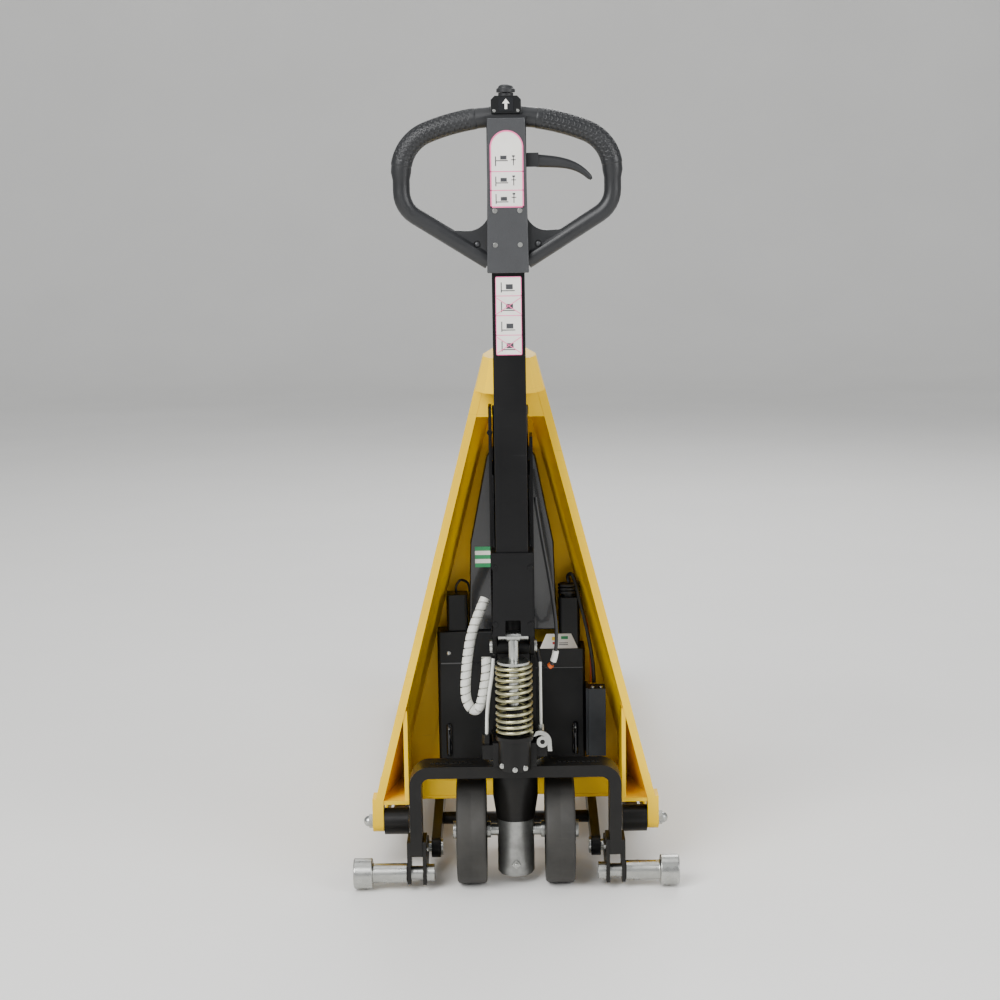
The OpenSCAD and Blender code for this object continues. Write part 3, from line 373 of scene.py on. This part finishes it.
# Handle: the loop's crown is an arch, then a rounded corner on each side
handle = {"archRadius": 0.337, "archDeg": 21.7, "top": 1.282, "half": 0.166, "y": axisY - 0.095}
grip = {"radius": 0.0167, "startDeg": 82, "endDeg": 8, "rings": 330, "sides": 96, "endRound": 0.004, "plainEnd": 0.008,
        "dimpleMm": 9.0, "dimpleDeep": 0.0016, "dimpleFrom": 0.45}

# An arc in X and Z: the centre plus r times (cos, sin) of an angle that goes evenly from a0 to a1 degrees
def arcPoints(cx, cz, r, a0, a1, count):
    a = np.radians(np.linspace(a0, a1, count))
    return np.stack([cx + r * np.cos(a), np.zeros(count), cz + r * np.sin(a)], -1)

# Distance along a path at each of its points: the running sum of its steps
def alongPath(path):
    return np.concatenate([[0], np.cumsum(np.linalg.norm(np.diff(path, axis=0), axis=1))])

# Grip sleeves: a tube along the arch and corner whose radius dips in a diagonal lattice,
# sin(a + b) times sin(a - b) of the length along it and the angle round it
def gripSleeve(sign):
    h, g = handle, grip
    a = math.radians(h["archDeg"])
    archX, archZ = h["archRadius"] * math.sin(a), h["top"] - h["archRadius"] * (1 - math.cos(a))
    corner = (h["half"] - archX) / (1 - math.sin(a))
    path = np.concatenate([arcPoints(0, h["top"] - h["archRadius"], h["archRadius"],
                                     g["startDeg"], 90 - h["archDeg"], 60),
                           arcPoints(h["half"] - corner, archZ - corner * math.cos(a), corner,
                                     90 - h["archDeg"] - 1, g["endDeg"], 90)])
    path = path * (sign, 1, 1) + (0, h["y"], 0)
    far = alongPath(path)
    fine = np.linspace(0, far[-1], g["rings"])
    path = np.stack([np.interp(fine, far, path[:, k]) for k in range(3)], -1)
    around = np.arange(g["sides"]) * tau / g["sides"]
    s = fine[:, None] * tau / (2 * g["dimpleMm"] / 1000)
    lattice = np.abs(np.sin(s + 5 * around) * np.sin(s - 5 * around))
    lattice = np.clip((lattice - g["dimpleFrom"]) / (1 - g["dimpleFrom"]), 0, 1)
    toEnd = np.minimum(fine, fine[-1] - fine)[:, None]
    ends = np.clip(toEnd / g["endRound"], 0, 1)
    mask = np.clip((toEnd - g["plainEnd"]) / 0.004, 0, 1)
    radius = g["radius"] * (0.93 + 0.07 * np.sqrt(1 - (1 - ends) ** 2)) - g["dimpleDeep"] * lattice * mask
    return tube(path, radius, g["sides"])

for sign, name in ((-1, "gripSleeveLeft"), (1, "gripSleeveRight")):
    newPiece(name, *gripSleeve(sign), "mouldedPolyamide", "handle")

# Raise button: a lathe profile with a broad skirt and a domed top, and a stem down into the switch box
cap = {"stem": 0.0066, "domeWide": 0.0118, "domeTall": 0.0055}
low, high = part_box("lift_button")
bx, by = (low[0] + high[0]) / 2, (low[1] + high[1]) / 2
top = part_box("switch_box")[1][2]
a = np.linspace(0, math.pi / 2, 9)
dome = np.stack([high[2] - cap["domeTall"] * (1 - np.sin(a)), cap["domeWide"] * np.cos(a) + 0.0002], -1)
skirt = np.array([(0.0098, cap["stem"]), (0.0098, 0.0124), (0.0052, 0.0124), (0.0051, 0.0142), (0.0056, 0.0147),
                  (0.0102, 0.0148), (0.0112, 0.0138), (0.012, 0.0122)]) + (top, 0)
button = newPiece("raiseButton", *joined([
    turned([(low[2], cap["stem"]), (top + 0.01, cap["stem"])], "z", (bx, by, 0), 40),
    turned(np.concatenate([skirt, dome]), "z", (bx, by, 0), 64)]), "mouldedPolyamide", "button")
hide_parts("lift_button")
# Fixed collar that the cap slides over, so no stem shows
newPiece("buttonCollar", *turned([(top - 0.0003, 0.0119), (top + 0.004, 0.0119), (top + 0.0046, 0.0113)], "z",
                                 (bx, by, 0), 48), "mouldedPolyamide", "handle")

# Domed screw in each web's pocket: (distance behind the loop's middle, radius) pairs
webScrew = {"x": 0.048, "z": 1.0835, "profile": [(-0.0072, 0.0022), (-0.0062, 0.0038), (-0.003, 0.0042)]}
for sign, name in ((-1, "webScrewLeft"), (1, "webScrewRight")):
    newPiece(name, *turned(webScrew["profile"], "y", (sign * webScrew["x"], handle["y"], webScrew["z"]), 28),
             "greyAbs", "handle")

# Window of the switch box, with a plain up arrow of a bar and a triangle
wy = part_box("switch_box")[0][1]
pane = [(-0.0115, 1.2895), (0.0115, 1.2895), (0.0115, 1.3085), (0.0095, 1.3105), (-0.0095, 1.3105), (-0.0115, 1.3085)]
arrow = [rect(-0.0019, 1.2925, 0.0019, 1.3012), [(-0.0056, 1.3012), (0.0056, 1.3012), (0, 1.3082)]]
newPiece("switchWindow", *slab(pane, wy - 0.0007, wy + 0.004), "glossAbs", "handle")
newPiece("arrowMark", *joined([slab(part, wy - 0.001, wy - 0.0003) for part in arrow]), "whiteVinyl", "handle")

# Release lever: an oval section that tapers as t to the power 1.6, on a line that droops as t to the power 4,
# with a flat root in the mount
lever = {"rootX": 0.047, "rootZ": 1.2125, "length": 0.086, "slope": 0.006, "droop": 0.024, "thick": 0.0102,
         "taper": 0.0062, "flatter": 0.82, "rootHalf": 0.0037, "y": handle["y"]}
t = np.linspace(0, 1, 60)
path = np.stack([lever["rootX"] + lever["length"] * t, np.full(60, lever["y"]),
                 lever["rootZ"] - lever["slope"] * t - lever["droop"] * t ** 4], -1)
tip = np.sqrt(np.clip((1.012 - t) / 0.05, 0, 1))            # closes the last twentieth to a rounded point
v, f = tube(path, (lever["thick"] - lever["taper"] * t ** 1.6) * tip, 40)
v[:, 1] = lever["y"] + (v[:, 1] - lever["y"]) * lever["flatter"]
root = slab(rect(0.0385, 1.2065, 0.054, 1.2175), lever["y"] - lever["rootHalf"], lever["y"] + lever["rootHalf"])
blade = newPiece("releaseLever", *joined([(v, f), root]), "mouldedPolyamide", "pull_lever")
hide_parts("release_lever")

# Printed lines of the stickers, gathered by colour as thin strips just proud of the film
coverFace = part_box("labels")[0][1]
shaftFace = axisY - 0.095 - 0.016 - 0.0005
ink = {"pinkInk": [], "greyInk": []}

# An upright strip between two opposite corners
def strip(colour, x0, z0, x1, z1, y):
    ink[colour].append(slab(rect(min(x0, x1), min(z0, z1), max(x0, x1), max(z0, z1)), y - 0.00025, y + 0.0001))

# A slanted strip: half its width w to each side of the line between two points
def slanted(colour, x0, z0, x1, z1, y, w=0.0011):
    d = np.array([x1 - x0, z1 - z0])
    n = np.array([-d[1], d[0]]) / np.linalg.norm(d) * w / 2
    p, q = np.array([x0, z0]), np.array([x1, z1])
    ink[colour].append(slab([p + n, p - n, q - n, q + n], y - 0.00028, y + 0.0001))

# Upper sticker: a border with an arched top, two rules and three plain pictograms of a truck, a bar and a load
upper = {"half": 0.026, "low": 1.141, "shoulder": 1.234, "border": 0.0022, "rule": 0.0013, "rules": (1.167, 1.196),
         "marks": ((1.147, 0), (1.174, 0.006), (1.205, 0.014))}
for x in (-upper["half"], upper["half"] - upper["border"]):
    strip("pinkInk", x, upper["low"], x + upper["border"], upper["shoulder"], coverFace)
strip("pinkInk", -upper["half"], upper["low"], upper["half"], upper["low"] + upper["border"], coverFace)
arch = np.concatenate([arcPoints(0, upper["shoulder"], upper["half"], 0, 180, 40),
                       arcPoints(0, upper["shoulder"], upper["half"] - upper["border"], 180, 0, 40)])
ink["pinkInk"].append(slab(arch[:, (0, 2)], coverFace - 0.00025, coverFace + 0.0001))
for z in upper["rules"]:
    strip("pinkInk", -upper["half"], z, upper["half"], z + upper["rule"], coverFace)
for z, lift in upper["marks"]:
    raised = lift * 0.4
    for x0, z0, x1, z1 in ((-0.018, 0, -0.0165, 0.015), (-0.0165, 0.002 + raised, 0.002, 0.0035 + raised),
                           (-0.010, 0.0045 + raised, 0.000, 0.0105 + raised), (0.010, 0.001, 0.0113, 0.014),
                           (0.007, 0.009, 0.0143, 0.0102), (0.0085, 0.014, 0.0128, 0.0165)):
        strip("greyInk", x0, z + z0, x1, z + z1, coverFace)

# Lower sticker: four cells, two of them crossed out
lower = {"half": 0.0205, "low": 0.909, "cell": 0.031, "cells": 4, "rule": 0.0012, "border": 0.0011, "crossed": (0, 2)}
for k in range(lower["cells"] + 1):
    z = lower["low"] + k * lower["cell"]
    under = lower["rule"] if k == lower["cells"] else 0
    strip("pinkInk", -lower["half"], z - under, lower["half"], z + lower["rule"] - under, shaftFace)
for x in (-lower["half"], lower["half"] - lower["border"]):
    strip("pinkInk", x, lower["low"], x + lower["border"], lower["low"] + lower["cells"] * lower["cell"], shaftFace)
for k in range(lower["cells"]):
    z = lower["low"] + k * lower["cell"]
    for x0, z0, x1, z1 in ((-0.012, 0.006, -0.0105, 0.022), (-0.0105, 0.008, 0.010, 0.0095),
                           (-0.004, 0.011, 0.007, 0.019)):
        strip("greyInk", x0, z + z0, x1, z + z1, shaftFace)
    if k in lower["crossed"]:
        slanted("pinkInk", -0.019, z + 0.003, 0.019, z + 0.0285, shaftFace)
        slanted("pinkInk", -0.019, z + 0.0285, 0.019, z + 0.003, shaftFace)
for colour, shapes in ink.items():
    newPiece(colour[:-3] + "Print", *joined(shapes), colour, "handle", smooth=False)
print("stage: handle")

# Pump spring: a helix whose pitch closes up over the first and last turn, like a ground coil spring
spring = {"r": 0.0279, "wire": 0.00305, "turns": 11, "steps": 40, "low": 0.2827, "high": 0.3983, "closing": 0.028,
          "y": axisY - 0.084}
k = np.linspace(0, 1, spring["turns"] * spring["steps"])
a = k * spring["turns"] * tau
rise = k - spring["closing"] * np.sin(tau * k)
path = np.stack([spring["r"] * np.cos(a), spring["r"] * np.sin(a) + spring["y"],
                 spring["low"] + (spring["high"] - spring["low"]) * rise], -1)
coil = newPiece("pumpSpring", *tube(path, spring["wire"], 12), "passivatedSpringSteel", "steer_unit")
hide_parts("pump_spring")
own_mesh(coil)

# Hose sleeve: spiral wrap, so the radius has a narrow groove that climbs one pitch for each turn
sleeveRoute = np.array([[-45.5, -12, 494], [-54, -19, 476], [-68, -26, 440], [-76, -30, 400], [-80, -31, 360],
                        [-80, -31, 332], [-74, -31, 314], [-64, -31, 308], [-56, -31, 318], [-50, -30, 342],
                        [-46, -26, 368], [-45, -20, 396]]) / 1000 + (0, axisY, 0)
wrap = {"pitch": 0.013, "r": 0.0085, "groove": 0.0034, "grooveFrom": 0.86, "sides": 36}
path = curveThrough(sleeveRoute, 900)
phase = alongPath(path)[:, None] * tau / wrap["pitch"] - np.arange(wrap["sides"]) * tau / wrap["sides"]
groove = np.clip((np.cos(phase) - wrap["grooveFrom"]) / (1 - wrap["grooveFrom"]), 0, 1) ** 0.6
hose = newPiece("hoseSleeve", *tube(path, wrap["r"] - wrap["groove"] * groove, wrap["sides"]), "whitePolyethylene",
                "steer_unit")
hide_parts("hose_sleeve")

# Hydraulic lines: a thin curved one, and a straight pipe with a hexagon nut at its foot
lineRoute = np.array([[-33.5, -28.3, 395], [-36, -35, 370], [-41, -42, 340], [-45, -46, 305], [-46, -45, 270.6]]) / 1000
pipeAt = (0.044, axisY - 0.045, 0)
thinLine = tube(curveThrough(lineRoute + (0, axisY, 0), 60), 0.003, 20)
pipe = turned([(0.2723, 0.0024), (0.3923, 0.0024)], "z", pipeAt, 24)
nut = turned([(0.2723, 0.0045), (0.2725, 0.0047), (0.285, 0.0047), (0.2863, 0.004)], "z", pipeAt, 6)
lines = newPiece("hydraulicLines", *joined([thinLine, pipe]), "whitePolyethylene", "steer_unit")
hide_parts("hydraulic_lines")
newPiece("lineNut", *nut, "zincPlatedSteel", "steer_unit")

# Control cable, with two connectors: wider sleeves along a stretch of the same curve
cableRoute = np.array([[39.4, -18, 664], [42, -24, 645], [49, -31, 600], [58, -38, 548], [66, -42, 497], [71, -44, 450],
                       [70, -44, 412], [63, -43, 388], [52, -38, 382], [43, -30, 392], [39.4, -20, 408]]) / 1000
cablePath = curveThrough(cableRoute + (0, axisY, 0), 160)
cable = newPiece("controlCable", *tube(cablePath, 0.003, 24), "pvcSheath", "steer_unit")
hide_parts("control_cable")
for name, i0, i1, finish in (("plugWhite", 96, 108, "whitePolyethylene"), ("plugOrange", 112, 118, "orangePvc")):
    newPiece(name, *tube(cablePath[i0:i1], 0.0052, 20), finish, "steer_unit")

# Steering tyres: a lathe profile with rounded shoulders and a fine moulding line in the middle
tyre = {"r": 0.09, "w": 0.05, "rim": 0.0641, "shoulder": 0.006, "seam": 0.0003, "seamHalf": 0.0012, "sides": 160}
q = np.linspace(0, math.pi / 2, 10)
h, sh, big = tyre["w"] / 2, tyre["shoulder"], tyre["r"]
profile = np.concatenate([
    [(-h + 0.0002, tyre["rim"])], np.stack([sh - h - sh * np.cos(q), big - sh + sh * np.sin(q)], -1),
    [(-tyre["seamHalf"], big), (0, big - tyre["seam"]), (tyre["seamHalf"], big)],
    np.stack([h - sh + sh * np.sin(q), big - sh + sh * np.cos(q)], -1), [(h - 0.0002, tyre["rim"])]])
for sideName in ("left", "right"):
    low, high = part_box("steer_tyre_" + sideName)
    v, f = turned(profile, "x", ((low[0] + high[0]) / 2, axisY, tyre["r"]), tyre["sides"])
    # the two end caps give way to a bore that joins the last ring to the first
    k = np.arange(tyre["sides"])
    m, last = (k + 1) % tyre["sides"], (len(profile) - 1) * tyre["sides"]
    f = f[:-2] + np.stack([k, m, last + m, last + k], -1).tolist()
    piece = newPiece("steerTyre" + sideName.capitalize(), v, f, "curedRubber", "steer_wheel_" + sideName)
    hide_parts("steer_tyre_" + sideName)

# Grease nipple on the front of the axle block: a square base, then neck and ball in line
front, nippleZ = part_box("axle_block")[0][1], 0.038
ball = np.array([(-0.0062, 0.0018), (-0.0052, 0.0034), (-0.0036, 0.0034), (-0.0028, 0.0024), (0.003, 0.0028)])
newPiece("greaseNipple", *joined([turned([(-0.0012, 0.0074), (0.004, 0.0078)], "y", (0, front, nippleZ), 4),
                                  turned(ball, "y", (0, front, nippleZ), 24)]), "zincPlatedSteel", "steer_unit")

# Bolt heads round the front of the valve block, each on the block's round face
blockRadius = 0.027
for i, (x, z) in enumerate(((-0.021, 0.2315), (0.0, 0.2275), (0.017, 0.2285))):
    y = spring["y"] - math.sqrt(blockRadius ** 2 - x ** 2)
    newPiece("blockBolt" + str(i), *turned([(-0.0026, 0.0028), (-0.002, 0.0042), (0.004, 0.0044)], "y", (x, y, z), 28),
             "zincPlatedSteel", "steer_unit")
print("stage: pump, cables and wheels")

# Battery label: a film on a plate that leans back against the small box, with coloured blocks
batLow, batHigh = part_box("battery_case")
frontY, lid = batLow[1], batHigh[2]
label = {"x": 0.079, "lowHalf": 0.033, "topHalf": 0.0215, "tall": 0.025, "lean": 0.24}
blocks = ((-0.012, 0.014, 0.008, 0.006, "yellowInk"), (-0.011, 0.0075, 0.006, 0.004, "redInk"),
          (0.004, 0.016, 0.012, 0.005, "greenInk"), (0.0, 0.006, 0.016, 0.0012, "greyInk"),
          (0.0, 0.009, 0.016, 0.0012, "greyInk"))

# A flat outline on the leaning plate: a slab moved back by the lean for each metre above the lid
def leaning(outline, out):
    v, f = slab([(label["x"] + x, lid + z) for x, z in outline], frontY + 0.0025 - out, frontY + 0.0037 - out)
    v[:, 1] += (v[:, 2] - lid) * label["lean"]
    return v, f

film = [(-label["lowHalf"], 0.0004), (label["lowHalf"], 0.0004), (label["topHalf"], label["tall"]),
        (-label["topHalf"], label["tall"])]
newPiece("batteryLabel", *leaning(film, 0), "whiteVinyl", "fork_frame", smooth=False)
for i, (x, z, wide, tall, colour) in enumerate(blocks):
    newPiece("labelBlock" + str(i), *leaning(rect(x, z, x + wide, z + tall), 0.0003), colour,
             "fork_frame", smooth=False)
edge = {"inset": 0.004, "low": 0.0335, "high": 0.0322}     # seam of the battery's lid, below its top
newPiece("lidEdge", *slab(rect(batLow[0] + edge["inset"], lid - edge["low"], batHigh[0] - edge["inset"],
                               lid - edge["high"]), frontY - 0.0008, frontY + 0.001), "glossAbs", "fork_frame")

# Upright rubber latches on both boxes, each with a light pin near its top
latch = {"profile": [(0.186, 0.0042), (0.1885, 0.0052), (0.238, 0.0052), (0.242, 0.0042), (0.2435, 0.002)],
         "pin": [(-0.0062, 0.0012), (-0.0046, 0.0022), (0, 0.0022)], "pinZ": 0.2345, "y": frontY - 0.0025}
for name, x in (("latchLeft", -0.114), ("latchRight", 0.106)):
    newPiece(name, *turned(latch["profile"], "z", (x, latch["y"], 0), 32), "glossAbs", "fork_frame")
    newPiece(name + "Pin", *turned(latch["pin"], "y", (x, latch["y"], latch["pinZ"]), 20), "zincPlatedSteel",
             "fork_frame")

# Left box: a rivet, and the seam of its lid
boxLow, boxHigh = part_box("power_box")
rivet = [(-0.0012, 0.0022), (-0.0004, 0.0034), (0.0005, 0.0036)]
newPiece("boxRivet", *turned(rivet, "y", (-0.112, boxLow[1], 0.368), 24), "zincPlatedSteel", "fork_frame")
newPiece("boxLidBand", *slab(rect(boxLow[0] + 0.006, 0.349, boxHigh[0] - 0.004, 0.3515), boxLow[1] - 0.0012,
                             boxLow[1] + 0.001), "glossAbs", "fork_frame")

# Striped sticker on the motor cover
stripes = {"left": -0.064, "right": -0.034, "low": 0.518, "tall": 0.0072}
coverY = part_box("motor_cover")[0][1]
for i, colour in enumerate(("greenInk", "whiteVinyl", "greenInk", "whiteVinyl", "greenInk")):
    z = stripes["low"] + i * stripes["tall"]
    newPiece("coverStripe" + str(i), *slab(rect(stripes["left"], z, stripes["right"], z + stripes["tall"]),
                                           coverY - 0.0006, coverY + 0.0004), colour, "fork_frame")

# Two screws on top of the controller
conLow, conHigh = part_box("controller")
for name, x in (("controllerScrewLeft", 0.136), ("controllerScrewRight", 0.15)):
    newPiece(name, *turned([(0, 0.0038), (0.0022, 0.0038), (0.0032, 0.0028)], "z",
                           (x, conLow[1] + 0.008, conHigh[2]), 24), "zincPlatedSteel", "fork_frame")

# Wires from the small boxes: (points, radius, finish). The thick and orange ones stop 3 to 5 mm above the controller
wires = {"leadThick": ([(0.098, 0.0, 0.484), (0.0965, 0.004, 0.496), (0.103, -0.004, 0.500), (0.109, -0.012, 0.486),
                        (0.117, -0.020, 0.452), (0.128, -0.022, 0.405), (0.137, -0.022, 0.352), (0.14, -0.02, 0.3105)],
                       0.0032, "pvcSheath"),
         "leadOrange": ([(0.116, 0.004, 0.44), (0.122, -0.006, 0.436), (0.131, -0.014, 0.40), (0.134, -0.017, 0.35),
                         (0.134, -0.017, 0.3105)], 0.0018, "orangePvc"),
         "leadBlack": ([(-0.098, -0.002, 0.469), (-0.098, -0.004, 0.482), (-0.09, -0.002, 0.492),
                        (-0.078, 0.002, 0.486), (-0.0745, 0.006, 0.470)], 0.0022, "pvcSheath")}
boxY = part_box("terminal_boxes")[0][1] + 0.022
for name, (points, r, finish) in wires.items():
    path = curveThrough(np.array(points) + (0, boxY, 0), 90)
    newPiece(name, *tube(path, r, 16), finish, "fork_frame")

# Spare lead wound round the small box's cap: a helix
spare = {"x": 0.098, "r": 0.0163, "low": 0.4655, "pitch": 0.0062, "turns": 3, "wire": 0.0029}
a = np.linspace(0, spare["turns"] * tau, 150)
coilPath = np.stack([spare["x"] + spare["r"] * np.cos(a), boxY + spare["r"] * np.sin(a),
                     spare["low"] + spare["pitch"] * a / tau], -1)
newPiece("leadCoil", *tube(coilPath, spare["wire"], 14), "pvcSheath", "fork_frame")

# Floor and backdrop in one sheet: flat, then a quarter circle up to a wall behind
studio = {"near": -14.0, "half": 14.0, "bendY": 6.5, "bend": 2.5, "wallTop": 9.0, "thick": 0.4}
t = np.radians(np.linspace(-90, 0, 24))
# Its bend: the centre plus r times (cos, sin) of each angle
def bendArc(angles, r):
    return np.stack([studio["bendY"] + r * np.cos(angles), studio["bend"] + r * np.sin(angles)], -1)
wallY, thick = studio["bendY"] + studio["bend"], studio["thick"]
wall = np.concatenate([[(studio["near"], 0)], bendArc(t, studio["bend"]),
                       [(wallY, studio["wallTop"]), (wallY + thick, studio["wallTop"])],
                       bendArc(t[::-1], studio["bend"] + thick), [(studio["near"], -thick)]])
rows = [np.stack([np.full(len(wall), x), wall[:, 0], wall[:, 1]], -1) for x in (-studio["half"], studio["half"])]
floor = newPiece("floor", np.concatenate(rows), gridFaces(2, len(wall)), "paleFloor", None)
floor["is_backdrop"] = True
print("stage: boxes, wires and floor")

low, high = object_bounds()
